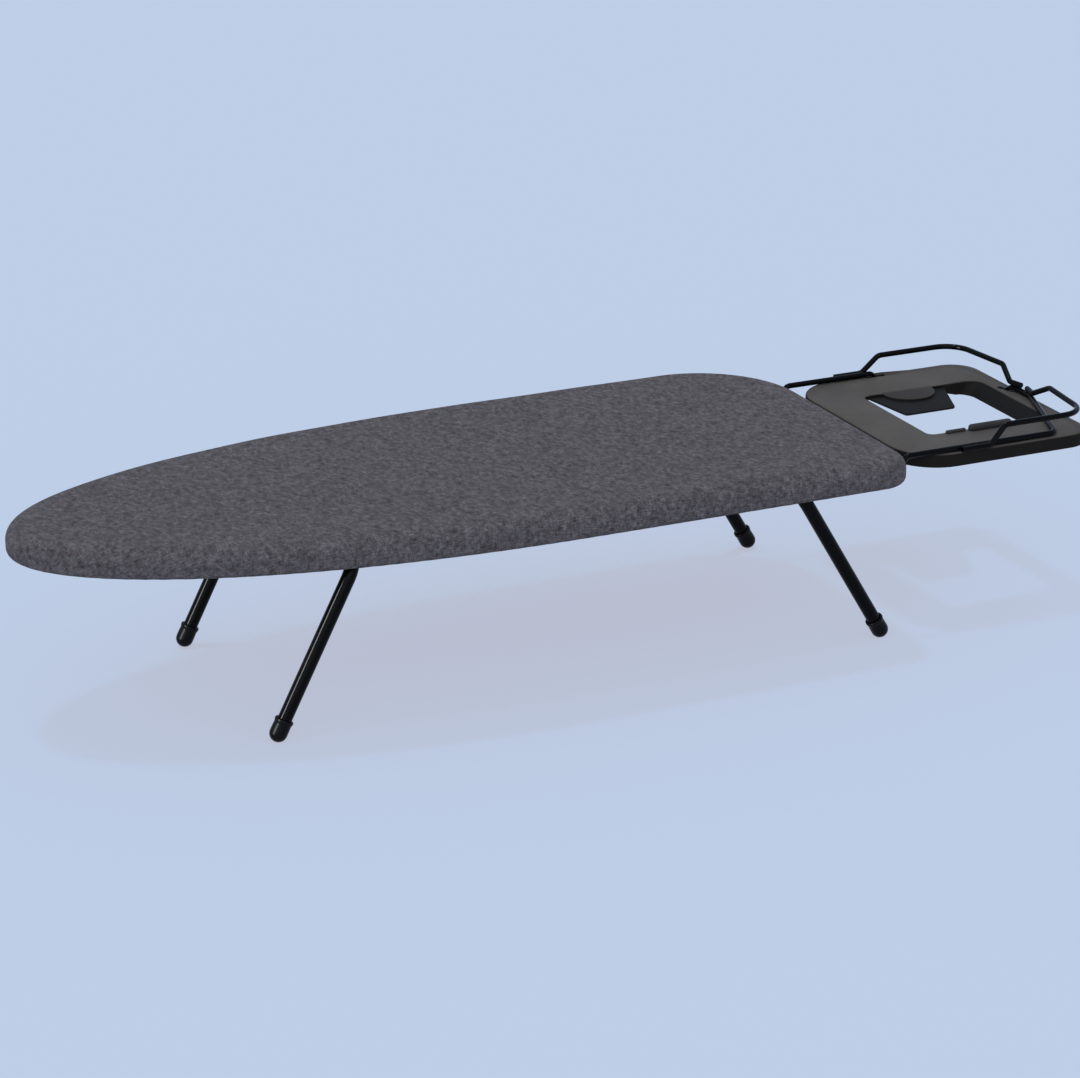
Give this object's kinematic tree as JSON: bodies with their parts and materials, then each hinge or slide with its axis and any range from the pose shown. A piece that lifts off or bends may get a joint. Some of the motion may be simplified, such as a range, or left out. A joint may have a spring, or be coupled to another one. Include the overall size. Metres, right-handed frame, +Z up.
{
  "type": "tabletop ironing board",
  "caption": "Tabletop ironing board: padded, fabric-covered deck on two fold-flat tube leg frames, with a wire-carried moulded iron rest at the wide end.",
  "frame": {"origin": "on the table the board stands on, below the middle of its whole length and width", "axes": "+X from the nose to the iron rest, +Y to the far side as the picture shows it, +Z up"},
  "size_m": [1.274, 0.408, 0.2331],
  "materials": {
    "cover_fabric": "heathered charcoal cotton weave",
    "felt": "pale grey needled felt",
    "elastic": "braided cord",
    "deck_steel": "galvanised expanded mesh",
    "black_coat": "glossy black powder coat",
    "foot_rubber": "satin black rubber",
    "nylon": "black nylon",
    "zinc_steel": "zinc plated",
    "tray_plastic": "satin dark grey moulding",
    "silicone": "matt grey silicone"
  },
  "bodies": {
    "board": {"cover": "cover_fabric", "felt_pad": "felt", "hem_elastic": "elastic", "deck_mesh": "deck_steel", "deck_rim": "black_coat", "nose_rail": "black_coat", "rear_rail": "black_coat", "tail_rail": "black_coat", "nose_pivot_block_near": "nylon", "nose_pivot_block_far": "nylon", "rear_pivot_block_near": "nylon", "rear_pivot_block_far": "nylon", "rod_block_near": "nylon", "rod_block_far": "nylon", "nose_pivot_strap_near": "zinc_steel", "nose_pivot_strap_far": "zinc_steel", "rear_pivot_strap_near": "zinc_steel", "rear_pivot_strap_far": "zinc_steel", "rod_strap_near": "zinc_steel", "rod_strap_far": "zinc_steel", "nose_pivot_rivet_near_front": "zinc_steel", "nose_pivot_rivet_near_back": "zinc_steel", "nose_pivot_rivet_far_front": "zinc_steel", "nose_pivot_rivet_far_back": "zinc_steel", "rear_pivot_rivet_near_front": "zinc_steel", "rear_pivot_rivet_near_back": "zinc_steel", "rear_pivot_rivet_far_front": "zinc_steel", "rear_pivot_rivet_far_back": "zinc_steel", "rod_rivet_near_front": "zinc_steel", "rod_rivet_near_back": "zinc_steel", "rod_rivet_far_front": "zinc_steel", "rod_rivet_far_back": "zinc_steel", "carrier_frame": "black_coat", "guard_wire_near": "black_coat", "guard_wire_far": "black_coat", "iron_tray": "tray_plastic", "rest_bar_long": "silicone", "rest_bar_short": "silicone"},
    "nose_leg": {"nose_leg_tube": "black_coat", "nose_stop_near": "black_coat", "nose_stop_far": "black_coat", "nose_foot_near": "foot_rubber", "nose_foot_far": "foot_rubber"},
    "rear_leg": {"rear_leg_tube": "black_coat", "rear_stop_near": "black_coat", "rear_stop_far": "black_coat", "rear_foot_near": "foot_rubber", "rear_foot_far": "foot_rubber"}
  },
  "joints": [
    {"name": "nose_leg_fold", "type": "hinge", "parent": "board", "child": "nose_leg", "pos_m": [-0.2958, 0, 0.2], "axis": [0, -1, 0], "range_deg": [0, 117]},
    {"name": "rear_leg_fold", "type": "hinge", "parent": "board", "child": "rear_leg", "pos_m": [0.2297, 0, 0.2], "axis": [0, 1, 0], "range_deg": [0, 121]}
  ]
}
